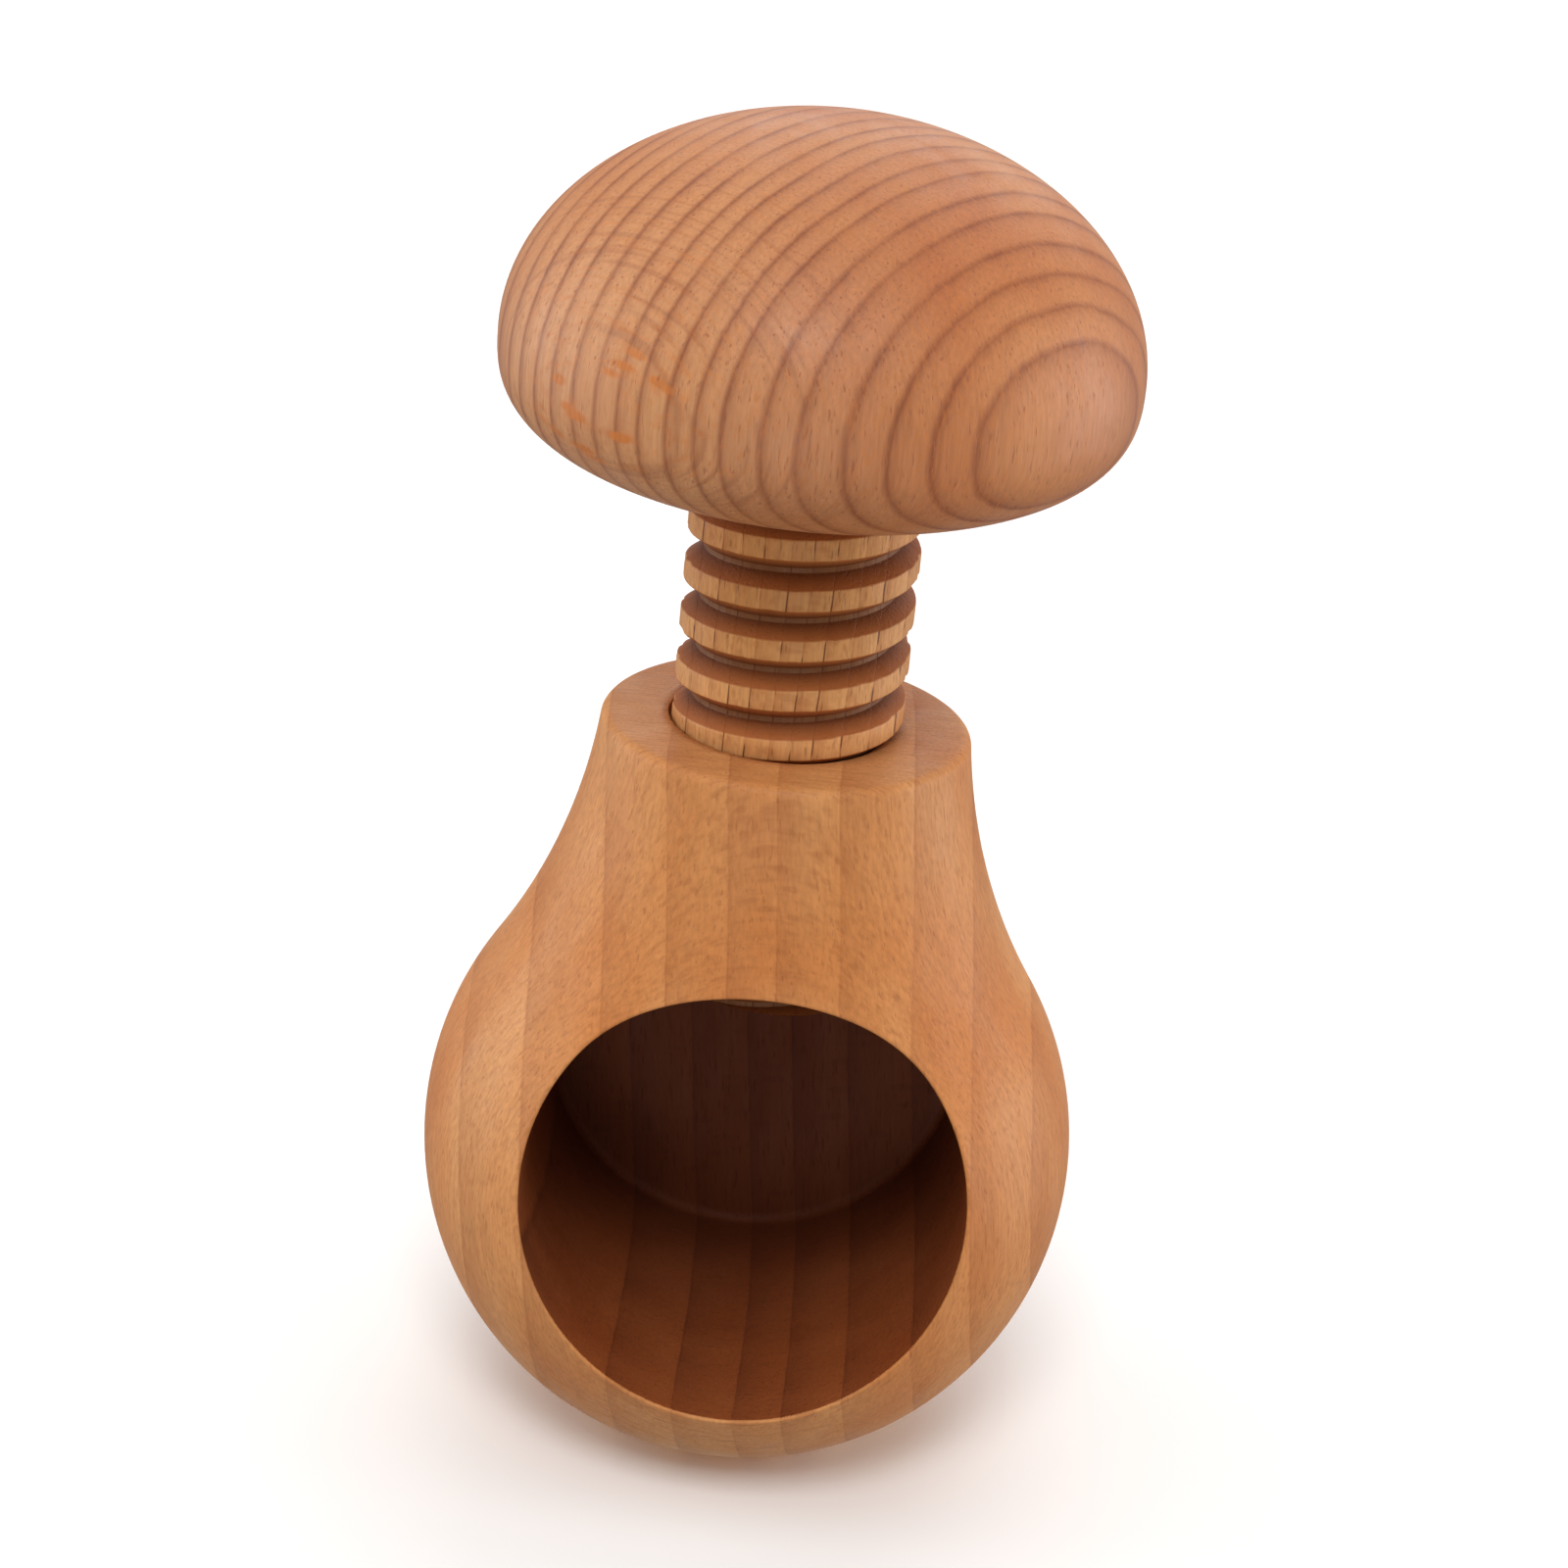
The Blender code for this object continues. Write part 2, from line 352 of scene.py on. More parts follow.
@dataclass(frozen=True)
class SteamedBeech:
    """European beech, steamed, turned, sanded and oiled.

    Steaming turns the wood pinkish brown, turning and sanding leave it smooth with the finest
    fibre marks, and oil gives it a low satin sheen and deepens the end grain.
    """

    name: str
    pale: str
    warm: str  # patches a little redder than the pale wood
    line: str  # the last, dense wood of a year
    fleck: str  # rays, the short dark dashes of beech
    pore: str
    azimuth: float  # where the rings face, in degrees from the front towards the right
    lean: float  # how far the fibre leans, in degrees
    ring_marks_mm: tuple[float, ...]  # where the years end, along that direction
    pith_mm: float  # how far the tree's middle is, which sets how the rings curve
    edge: RingEdge
    quartered: str = "#D9A878"  # the wood where its rays lie flat in the face
    contrast: float = 0.8
    pore_contrast: float = 0.30
    ray_contrast: float = 0.30
    fleck_contrast: float = 0.22
    fibre_contrast: float = 0.10
    end_grain: float = 0.35  # how much end grain darkens
    end_from: float = 0.86  # the upright share of the straight-out direction where it starts
    end_to: float = 0.995
    sheet_contrast: float = 0.12  # the broad rays, long thin lines across the rings
    fleck_mm: tuple[float, float, float] = (5.0, 0.42, 1.5)  # across the rings, along them, up the trunk
    figure_mm: tuple[float, float] = (-2.0, -1.0)  # how far along the rings the sheets start to show
    figure_pale: float = 0.0  # how much paler the wood is there
    fleck_from_mm: tuple[float, float] = (-2.0, -1.0)  # the same for the flecks
    groove_shade_mm: tuple[float, float] = (0.0, 0.0)  # painted shade: the radii, in millimetres, that the darkening of the thread's groove runs between, full at the first
    groove_shade_contrast: float = 0.0
    depth_shade_mm: tuple[float, float] = (0.0, 0.0)  # painted shade: how far back in the hole, in millimetres along Y, the darkening runs from none to full
    depth_shade_contrast: float = 0.0
    crack_contrast: float = 0.0  # short dark checks along the rings, where a cutter tore them
    roughness: tuple[float, float] = (0.42, 0.58)
    sheen: float = 0.32  # how strongly the surface mirrors the lights
    relief: float = 1.0
    wobble_mm: float = 0.5

    def material(self) -> bpy.types.Material:
        """Build the material: a solid block of wood, so every cut shows the grain it should.

        Returns:
            The material.
        """
        made, tree, place = blank_material(self.name)
        faced = add(
            tree, "Mapping",
            {"Vector": place, "Rotation": (0, 0, math.radians(90 - self.azimuth))},
        )
        grain = add(
            tree, "Mapping", {
                "Vector": faced, "Rotation": (0, math.radians(self.lean), 0),
                "Scale": (1 / MM, 1 / MM, 1 / MM),
            },
        )
        rings, years = self.rings(tree, grain)
        rays, flecks, sheets, figure = self.rays(tree, grain)
        fibre = self.stretched(tree, grain, (0.35, 0.35, 5.0), detail=3)
        pores = add(
            tree, "MapRange", {
                "Value": self.stretched(tree, grain, (0.28, 0.28, 2.2), detail=1, offset=31),
                "From Min": 0.62, "From Max": 0.76,
            },
        )
        cloud = self.stretched(tree, grain, (16, 16, 34), detail=2, offset=7)
        body = add(
            tree, "Mix", {
                0: add(tree, "MapRange", {"Value": cloud, "From Min": 0.35, "From Max": 0.68}),
                6: self.pale, 7: self.warm,
            }, data_type="RGBA",
        )
        body = self.mixed(tree, body, figure, self.quartered, self.figure_pale)
        colour = self.mixed(tree, body, rings, self.line, self.contrast)
        colour = self.mixed(tree, colour, rays, self.fleck, self.ray_contrast)
        colour = self.mixed(tree, colour, sheets, self.line, self.sheet_contrast)
        colour = self.mixed(tree, colour, flecks, self.fleck, self.fleck_contrast)
        colour = self.mixed(tree, colour, pores, self.pore, self.pore_contrast)
        if self.crack_contrast:
            cracks = self.cracks(tree, grain, years)
            colour = self.mixed(tree, colour, cracks, self.pore, self.crack_contrast)
        tone = add(
            tree, "MapRange", {
                "Value": fibre, "From Min": NOISE_LOW, "From Max": NOISE_HIGH,
                "To Min": 1 - self.fibre_contrast, "To Max": 1 + self.fibre_contrast,
            },
        )
        colour = add(tree, "VectorMath", {0: colour, "Scale": tone}, operation="SCALE")
        colour = self.end_shaded(tree, colour)
        # painted shade, darker deeper in the nut hole
        if self.depth_shade_contrast:
            colour = self.mixed(tree, colour, self.depth_shade(tree, place), self.pore, self.depth_shade_contrast)
        # painted shade, deepest at the bottom of the thread's groove
        if self.groove_shade_contrast:
            colour = self.mixed(tree, colour, self.groove(tree, place), self.pore, self.groove_shade_contrast)
        height = fibre
        for mask, depth in ((pores, PORE_DEPTH), (rings, RING_DEPTH)):
            sunk = add(tree, "Math", {0: mask, 1: depth}, operation="MULTIPLY")
            height = add(tree, "Math", {0: height, 1: sunk}, operation="SUBTRACT")
        bump = add(
            tree, "Bump",
            {"Height": height, "Strength": BUMP_STRENGTH, "Distance": FIBRE_HEIGHT * self.relief},
        )
        gloss = add(
            tree, "MapRange", {
                "Value": self.stretched(tree, grain, (3, 3, 9), detail=3, offset=13),
                "From Min": NOISE_LOW, "From Max": NOISE_HIGH,
                "To Min": self.roughness[0], "To Max": self.roughness[1],
            },
        )
        shader = add(
            tree, "BsdfPrincipled", {
                "Base Color": colour, "Roughness": gloss, "Normal": bump, "IOR": 1.5,
                "Specular IOR Level": self.sheen,
            },
        )
        add(tree, "OutputMaterial", {"Surface": shader})
        return made

    def stretched(self, tree: bpy.types.NodeTree, grain: bpy.types.Node,
                  size_mm: tuple[float, float, float], detail: float = 2, offset: float = 0,
                  ) -> bpy.types.Node:
        """Add a noise with features of a real size.

        Args:
            tree: The material's nodes.
            grain: The wood's own coordinates, in millimetres.
            size_mm: The size of a feature across the rings, along them, and up the trunk.
            detail: How many finer layers it has.
            offset: What sets it apart from another noise of the same size.

        Returns:
            The noise, from 0 to 1 round 0.5.
        """
        scaled = add(
            tree, "Mapping", {
                "Vector": grain, "Location": (offset, 2 * offset, 3 * offset),
                "Scale": tuple(1 / size for size in size_mm),
            },
        )
        return add(tree, "TexNoise", {"Vector": scaled, "Scale": 1.0, "Detail": detail, "Roughness": 0.55})

    def mixed(self, tree: bpy.types.NodeTree, base: Value, mask: Value, colour: str,
              most: float) -> bpy.types.Node:
        """Lay a colour over another where a mask says.

        Args:
            tree: The material's nodes.
            base: The colour below.
            mask: Where the colour goes, from 0 to 1.
            colour: The colour on top.
            most: How much of it shows where the mask is 1.

        Returns:
            The colour that both make.
        """
        share = add(tree, "Math", {0: mask, 1: most}, operation="MULTIPLY", use_clamp=True)
        return add(tree, "Mix", {0: share, 6: base, 7: colour}, data_type="RGBA")

    def rings(self, tree: bpy.types.NodeTree, grain: bpy.types.Node) -> tuple[bpy.types.Node, ...]:
        """Add the growth rings.

        Args:
            tree: The material's nodes.
            grain: The wood's own coordinates.

        Returns:
            How dark the ring is and how far on the year is, both from 0 to 1.
        """
        wave = self.stretched(tree, grain, (14, 14, 40), detail=1, offset=3)
        ragged = self.stretched(tree, grain, (0.9, 0.9, 5), detail=2, offset=5)
        flat = add(tree, "VectorMath", {0: grain, 1: (self.pith_mm, 0, 0)}, operation="ADD")
        flat = add(tree, "VectorMath", {0: flat, 1: (1, 1, 0)}, operation="MULTIPLY")
        out = add(tree, "VectorMath", {0: flat}, operation="LENGTH").outputs["Value"]
        across = add(tree, "Math", {0: out, 1: self.pith_mm}, operation="SUBTRACT")
        for noise_node, reach in ((wave, self.wobble_mm * 4), (ragged, RAGGED_MM)):
            shift = add(tree, "Math", {0: noise_node, 1: 0.5}, operation="SUBTRACT")
            across = add(tree, "Math", {0: shift, 1: reach, 2: across}, operation="MULTIPLY_ADD")
        low, high = self.ring_marks_mm[0], self.ring_marks_mm[-1]
        share = add(tree, "MapRange", {"Value": across, "From Min": low, "From Max": high})
        count = len(self.ring_marks_mm) - 1
        chart = add(tree, "FloatCurve", {"Value": share})
        curve = chart.mapping.curves[0]
        chart.mapping.use_clip = False
        curve.points[0].location = (0, 0)
        curve.points[1].location = (1, 1)
        for number, mark in enumerate(self.ring_marks_mm[1:-1], 1):
            curve.points.new((mark - low) / (high - low), number / count)
        for point in curve.points:
            point.handle_type = "VECTOR"
        chart.mapping.update()
        year = add(tree, "Math", {0: chart, 1: count}, operation="MULTIPLY")
        part = add(tree, "Math", {0: year}, operation="FRACT")
        ramp = add(tree, "ValToRGB", {"Fac": part})
        stops = self.edge.value
        ramp.color_ramp.elements[0].position = stops[0][0]
        ramp.color_ramp.elements[1].position = stops[-1][0]
        for spot, _ in stops[1:-1]:
            ramp.color_ramp.elements.new(spot)
        for element, (_, dark) in zip(ramp.color_ramp.elements, stops):
            element.color = (dark, dark, dark, 1)
        strength = add(
            tree, "MapRange", {
                "Value": self.stretched(tree, grain, (9, 5, 22), detail=1, offset=19),
                "From Min": NOISE_LOW, "From Max": NOISE_HIGH, "To Min": 0.55, "To Max": 1.0,
            },
        )
        return add(tree, "Math", {0: ramp, 1: strength}, operation="MULTIPLY"), part

    def rays(self, tree: bpy.types.NodeTree, grain: bpy.types.Node) -> tuple[bpy.types.Node, ...]:
        """Add the rays: thin upright sheets that run from the tree's middle outwards.

        Cut along a ring they show as short upright dashes, and cut across as fine lines.

        Args:
            tree: The material's nodes.
            grain: The wood's own coordinates.

        Returns:
            The fine rays, the broad flecks, the long sheets and where the sheets show, from 0 to 1.
        """
        fine = add(
            tree, "MapRange", {
                "Value": self.stretched(tree, grain, (5, 0.24, 1.0), detail=2, offset=23),
                "From Min": 0.48, "From Max": 0.74,
            },
        )
        cell = add(
            tree, "Mapping",
            {"Vector": grain, "Scale": tuple(1 / size for size in self.fleck_mm), "Location": (3, 1, 2)},
        )
        spread = add(tree, "TexVoronoi", {"Vector": cell, "Scale": 1.0, "Randomness": 1.0})
        broad = add(
            tree, "MapRange", {
                "Value": spread.outputs["Distance"], "From Min": 0.20, "From Max": 0.34,
                "To Min": 1.0, "To Max": 0.0,
            },
        )
        sheet = add(
            tree, "MapRange", {
                "Value": self.stretched(tree, grain, (20, 0.55, 9), detail=1, offset=53),
                "From Min": 0.56, "From Max": 0.68,
            },
        )
        along = add(tree, "SeparateXYZ", {"Vector": grain}).outputs["Y"]
        along = add(tree, "Math", {0: along}, operation="ABSOLUTE")
        shown = [
            add(tree, "MapRange", {"Value": along, "From Min": reach[0], "From Max": reach[1]})
            for reach in (self.fleck_from_mm, self.figure_mm)
        ]
        broad = add(tree, "Math", {0: broad, 1: shown[0]}, operation="MULTIPLY")
        sheet = add(tree, "Math", {0: sheet, 1: shown[1]}, operation="MULTIPLY")
        return fine, broad, sheet, shown[1]

    def cracks(self, tree: bpy.types.NodeTree, grain: bpy.types.Node,
               part: bpy.types.Node) -> bpy.types.Node:
        """Add short checks where two years meet.

        Args:
            tree: The material's nodes.
            grain: The wood's own coordinates.
            part: How far on the year is, from 0 to 1.

        Returns:
            How dark a check is, from 0 to 1.
        """
        away = add(tree, "Math", {0: part, 1: 0.5}, operation="SUBTRACT")
        away = add(tree, "Math", {0: away}, operation="ABSOLUTE")
        thin = add(tree, "MapRange", {"Value": away, "From Min": 0.455, "From Max": 0.49})
        here = add(
            tree, "MapRange", {
                "Value": self.stretched(tree, grain, (2.2, 2.2, 2.6), detail=1, offset=41),
                "From Min": 0.44, "From Max": 0.56,
            },
        )
        return add(tree, "Math", {0: thin, 1: here}, operation="MULTIPLY")

    def depth_shade(self, tree: bpy.types.NodeTree, place: bpy.types.NodeSocket) -> bpy.types.Node:
        """Paint shade that deepens towards the back of the nut hole.

        Args:
            tree: The material's nodes.
            place: The object's own coordinates.

        Returns:
            How dark the painted shade is at a point, from 0 to 1.
        """
        depth = add(tree, "SeparateXYZ", {"Vector": place}).outputs["Y"]
        return add(
            tree, "MapRange",
            {"Value": depth, "From Min": self.depth_shade_mm[0] * MM, "From Max": self.depth_shade_mm[1] * MM},
        )

    def groove(self, tree: bpy.types.NodeTree, place: bpy.types.NodeSocket) -> bpy.types.Node:
        """Paint shade into the bottom of a thread's groove, darker the deeper a point lies.

        Args:
            tree: The material's nodes.
            place: The object's own coordinates.

        Returns:
            How deep in the groove a point is, from 0 to 1.
        """
        flat = add(tree, "VectorMath", {0: place, 1: (1 / MM, 1 / MM, 0)}, operation="MULTIPLY")
        radius = add(tree, "VectorMath", {0: flat}, operation="LENGTH").outputs["Value"]
        return add(
            tree, "MapRange", {
                "Value": radius, "From Min": self.groove_shade_mm[0], "From Max": self.groove_shade_mm[1],
                "To Min": 1.0, "To Max": 0.0,
            },
        )

    def end_shaded(self, tree: bpy.types.NodeTree, colour: bpy.types.Node) -> bpy.types.Node:
        """Darken end grain, which drinks more oil.

        Args:
            tree: The material's nodes.
            colour: The colour so far.

        Returns:
            The colour with its end grain deeper.
        """
        facing = add(tree, "SeparateXYZ", {"Vector": add(tree, "NewGeometry", {}).outputs["Normal"]})
        level = add(tree, "Math", {0: facing.outputs["Z"]}, operation="ABSOLUTE")
        mask = add(tree, "MapRange", {"Value": level, "From Min": self.end_from, "From Max": self.end_to})
        share = add(tree, "Math", {0: mask, 1: self.end_grain}, operation="MULTIPLY")
        return add(tree, "Mix", {0: share, 6: colour, 7: self.line}, data_type="RGBA")


BLOCK_BEECH = SteamedBeech(
    name="steamed_beech_turned_block", pale="#D2945C", warm="#C57B41", line="#98552A",
    fleck="#98552A", pore="#8A4420", azimuth=90, lean=6.0,
    ring_marks_mm=(-43, -36.8, -30.2, -23.4, -16.6, -9.0, -2.8, 3.0, 7.5, 13.2, 19.8, 25.3, 31.1, 37, 43),
    pith_mm=500, edge=RingEdge.STEP, contrast=0.55, end_grain=0.0, wobble_mm=0.15, sheen=0.2,
)
# painted shade: the block's beech made much darker for the inside of the nut hole; its rougher gloss and
# deeper relief are the bored surface's own
SHADED_BORED_BEECH = replace(
    BLOCK_BEECH, name="steamed_beech_bored_shaded", pale="#9A5228", warm="#8C441C", line="#55230F",
    fleck="#6A3216", pore="#3F1A10", end_grain=0.1, roughness=(0.6, 0.75), relief=1.6,
    ray_contrast=0.1, sheet_contrast=0.0, contrast=0.7, depth_shade_mm=(-16, 10), depth_shade_contrast=0.62,
)
SPINDLE_BEECH = SteamedBeech(
    name="steamed_beech_cut_thread", pale="#D79D64", warm="#CD8D50", line="#A0582A",
    fleck="#9A5226", pore="#5A2A12", azimuth=90, lean=0.0,
    ring_marks_mm=(-14, -11.9, -9.4, -7.2, -5.3, -3.1, -0.6, 1.4, 3.4, 5.9, 8.0, 10.1, 12.6, 14.5),
    pith_mm=120, edge=RingEdge.STEP, contrast=0.5, end_grain=0.92, end_from=0.30, end_to=0.72,
    # the groove values paint shade into the bottom of the thread's groove
    sheen=0.2, relief=2.2, crack_contrast=0.9, groove_shade_mm=(9.4, 10.7), groove_shade_contrast=0.8,
)
CAP_BEECH = SteamedBeech(
    name="steamed_beech_turned_cap", pale="#C07E4D", warm="#B36A3E", line="#7E3C1D",
    fleck="#C27030", pore="#8A4420", azimuth=50, lean=0.0,
    ring_marks_mm=(-33.6, -30.8, -28, -25.3, -22.5, -19.8, -17, -13.4, -10.6, -7.5, -4.7, -1.6, 1.2, 3.8,
                   6.0, 8.6, 11.1, 13.2, 16.2, 18.6, 21.6, 23.9, 25.9, 27.7, 30.4, 34),
    pith_mm=300, edge=RingEdge.LINE, contrast=0.9, sheen=0.38, end_grain=0.0, wobble_mm=0.25,
    sheet_contrast=0.30, fleck_contrast=0.9, ray_contrast=0.42, pore_contrast=0.5, figure_mm=(11, 27),
    figure_pale=0.35, fleck_mm=(6.0, 0.8, 1.8), fleck_from_mm=(27.8, 28.8),
)


@dataclass(frozen=True)
class DriedWoodGlue:
    """White joiner's glue, dried: it turns clear amber, slightly glossy, with tiny bubbles."""

    name: str = "joiners_glue_dried"
    clear: str = "#D9C48C"
    cloudy: str = "#EADFB8"
    bubbles_per_metre: float = 1600.0
    clouds_per_metre: float = 700.0
    bubble_height: float = 0.00008

    def material(self) -> bpy.types.Material:
        """Build the material.

        Returns:
            The material.
        """
        made, tree, place = blank_material(self.name)
        cloud = add(tree, "TexNoise", {"Vector": place, "Scale": self.clouds_per_metre, "Detail": 3.0})
        bubble = add(tree, "TexVoronoi", {"Vector": place, "Scale": self.bubbles_per_metre})
        colour = add(tree, "Mix", {0: cloud, 6: self.clear, 7: self.cloudy}, data_type="RGBA")
        bump = add(
            tree, "Bump",
            {"Height": bubble.outputs["Distance"], "Strength": 0.5, "Distance": self.bubble_height},
        )
        gloss = add(tree, "MapRange", {"Value": cloud, "To Min": 0.28, "To Max": 0.45})
        shader = add(
            tree, "BsdfPrincipled",
            {"Base Color": colour.outputs[2], "Roughness": gloss, "Normal": bump, "IOR": 1.48},
        )
        add(tree, "OutputMaterial", {"Surface": shader})
        return made


# ---------------------------------------------------------------- the pieces


@dataclass
class BodyBlock:
    """The ball, its foot and its neck: one block, turned, bored from the front and tapped."""

    thread: WoodThread
    finish: SteamedBeech
    bored_shaded_finish: SteamedBeech
    node: str = "body_block"
    foot_radius: float = 0.0140
    foot_edge: float = 0.0010
    neck_radius: float = 0.0176
    neck_rise: float = 0.0445
    neck_slope: float = 0.10
    neck_edge: float = 0.0011
    hole_radius: float = 0.0210
    hole_rise: float = 0.0044
    hole_back: float = 0.0117
    hole_corner: float = 0.0010
    lip: float = 0.0004  # how far the hole's edge is sanded round
    radial_play: float = 0.00035
    axial_play: float = 0.00015
    mouth_ease: float = 0.0004  # how far the tapped thread's inner edge is eased at the mouth
    bore_past: float = 0.004  # how far each cutting tool runs past the wood
    mouth_past: float = 0.005
    tap_past: float = 0.006
    bore_spacing: float = 0.0008  # between the rings of the boring tool's wall
    lip_edges: tuple[float, ...] = (0.0007, 0.0005, 0.00036, 0.00024)  # the longest left, round by round
    steps: int = 192
    ball_radius: float = field(init=False)
    ball_centre: float = field(init=False)
    neck_top: float = field(init=False)

    def __post_init__(self) -> None:
        """Take the ball's size and the neck's height from the CAD."""
        low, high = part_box(self.node)
        self.ball_radius = (high.x - low.x) / 2
        self.ball_centre = math.sqrt(self.ball_radius**2 - self.foot_radius**2)
        self.neck_top = high.z

    def cove(self) -> tuple[Vector, float]:
        """Work out the neck's hollow curve.

        Returns:
            Its centre (r, height above the ball's centre) and its radius.
        """
        lean = math.hypot(1.0, self.neck_slope)
        out, up = 1 / lean, self.neck_slope / lean
        rise = self.neck_top - self.ball_centre
        short = self.ball_radius**2 - self.neck_radius**2 - rise**2
        radius = short / (2 * (self.neck_radius * out + rise * up - self.ball_radius))
        return Vector((self.neck_radius + radius * out, rise + radius * up)), radius

    def outline(self) -> Outline:
        """Work out the turned outline, from the foot's middle to the middle of the neck's top."""
        centre, radius = self.cove()
        meet = math.atan2(centre.y, centre.x)
        foot = math.atan2(-self.ball_centre, self.foot_radius)
        ball = arc((0, self.ball_centre), self.ball_radius, foot, meet, 84)
        rise = self.neck_top - self.ball_centre
        top = math.atan2(rise - centre.y, self.neck_radius - centre.x) % FULL_TURN
        neck = arc((centre.x, self.ball_centre + centre.y), radius, meet + math.pi, top, 40)
        ball = [p for p in ball if math.dist(p, ball[0]) > 2 * self.foot_edge]
        neck = [p for p in neck if math.dist(p, neck[-1]) > 1.5 * self.neck_edge]
        rings = [(self.neck_radius * share, self.neck_top) for share in (0.9, 0.8, 0.7, 0)]
        points = [
            (0, 0), (self.foot_radius * 0.5, 0), (self.foot_radius, 0), *ball, *neck[1:],
            (self.neck_radius, self.neck_top), *rings,
        ]
        return eased(
            points, {2: self.foot_edge, len(points) - len(rings) - 1: self.neck_edge}
        )

    def boring_tool(self) -> bpy.types.Object:
        """Make the shape that the boring bit takes out of the front."""
        reach = self.hole_back + self.ball_radius + self.bore_past
        outline = [(0, 0), (self.hole_radius, 0)]
        count = int(reach / self.bore_spacing)
        outline += [
            (self.hole_radius, self.hole_corner + (reach - self.hole_corner) * step / count)
            for step in range(1, count + 1)
        ]
        outline = eased(outline + [(0, reach)], {1: self.hole_corner}, 10)
        tool = turned("boring_tool", outline, self.steps)
        forward = Matrix.Rotation(math.pi / 2, 4, "X")
        middle = Matrix.Translation((0, self.hole_back, self.ball_centre + self.hole_rise))
        tool.data.transform(middle @ forward)
        return tool

    def mouth_tool(self) -> bpy.types.Object:
        """Make the countersink that eases the inner edge of the tapped thread at its mouth."""
        rim = self.thread.radius + self.radial_play - self.thread.depth + self.mouth_ease
        top = self.neck_top + self.mouth_past
        outline = [(0, self.neck_top - rim), (rim + self.mouth_past, top), (0, top)]
        return turned("mouth_tool", outline, self.steps)

    def skin(self, point: Vector) -> tuple[float, Vector]:
        """Find how far a point is outside the turned skin.

        Args:
            point: The point.

        Returns:
            The distance, below 0 inside, and the direction straight out.
        """
        away = Vector((point.x, point.y, 0))
        flat = Vector((away.length, point.z - self.ball_centre))
        centre, radius = self.cove()
        if math.atan2(flat.y, flat.x) < math.atan2(centre.y, centre.x):
            out = flat.normalized()
            distance = flat.length - self.ball_radius
        else:
            out = (centre - flat).normalized()
            distance = radius - (centre - flat).length
        away.normalize()
        return distance, Vector((away.x * out.x, away.y * out.x, out.y))

    def bore(self, point: Vector) -> tuple[float, Vector]:
        """Find how far a point is inside the nut hole's wall.

        Args:
            point: The point.

        Returns:
            The distance, above 0 in the hole, and the direction straight into the hole.
        """
        away = Vector((point.x, 0, point.z - self.ball_centre - self.hole_rise))
        return self.hole_radius - away.length, -away.normalized()

    def sand_lip(self, bm: bmesh.types.BMesh) -> dict[int, Vector]:
        """Round the nut hole's edge, where the boring meets the turned skin.

        Args:
            bm: The bored block.

        Returns:
            The straight-out direction at each vertex of the skin and of the hole, by its index.
        """
        def near(vert: bmesh.types.BMVert, reach: float) -> bool:
            """Whether a vertex lies near the hole's edge."""
            return (vert.co.y < 0 and abs(self.skin(vert.co)[0]) < reach
                    and abs(self.bore(vert.co)[0]) < reach)

        round_lip = [face for face in bm.faces if any(near(v, 2 * self.lip) for v in face.verts)]
        bmesh.ops.triangulate(bm, faces=round_lip)
        for longest in self.lip_edges:
            close = {v for v in bm.verts if near(v, 1.6 * self.lip)}
            long = [e for e in bm.edges if e.calc_length() > longest
                    and (e.verts[0] in close or e.verts[1] in close)]
            cut = bmesh.ops.subdivide_edges(bm, edges=long, cuts=1)
            added = [item for item in cut["geom_inner"] if isinstance(item, bmesh.types.BMVert)]
            faces = list({face for vert in added for face in vert.link_faces})
            bmesh.ops.triangulate(bm, faces=faces, quad_method="SHORT_EDGE", ngon_method="EAR_CLIP")
        bm.verts.index_update()
        directions: dict[int, Vector] = {}
        for vert in bm.verts:
            if not near(vert, 3 * self.lip):
                continue
            for _ in range(4):
                out, outward = self.skin(vert.co)
                into, inward = self.bore(vert.co)
                first, second = out + self.lip, into + self.lip
                if first > 0 and second > 0:
                    long = math.hypot(first, second)
                    level, slope = long - self.lip, (first * outward + second * inward) / long
                elif out > into:
                    level, slope = out, outward
                else:
                    level, slope = into, inward
                vert.co -= slope * (level / slope.length_squared)
            directions[vert.index] = slope.normalized()
        return directions

    def build(self) -> bpy.types.Object:
        """Turn, bore, sand and tap the block, and finish it.

        Returns:
            The piece.
        """
        block = turned("beech_body", self.outline(), self.steps)
        carve(block, self.boring_tool())
        low = self.ball_centre + self.hole_rise
        tap = self.thread.rod(
            "tap", low, self.neck_top + self.tap_past, self.neck_top, self.radial_play, self.axial_play
        )
        carve(tap, self.mouth_tool(), "UNION")
        carve(block, tap)
        bm = bmesh.new()
        bm.from_mesh(block.data)
        directions = self.sand_lip(bm)
        bm.to_mesh(block.data)
        bm.free()
        block.data.shade_smooth()
        block.data.set_sharp_from_angle(angle=CREASE)
        plain = Vector((0, 0, 0))
        ways = [directions.get(vert.index, plain) for vert in block.data.vertices]
        block.data.normals_split_custom_set_from_vertices(ways)
        dress(block, self.finish.material(), "block", self.node)
        # the hole's faces take the darker copy of the wood, painted shade in the recess
        block.data.materials.append(self.bored_shaded_finish.material())
        for face in block.data.polygons:
            middle = face.center
            in_hole = self.bore(middle)[0] > -100 * WELD and middle.y < self.hole_back + 100 * WELD
            if in_hole and self.skin(middle)[0] < -0.9 * self.lip:
                face.material_index = 1
        return block


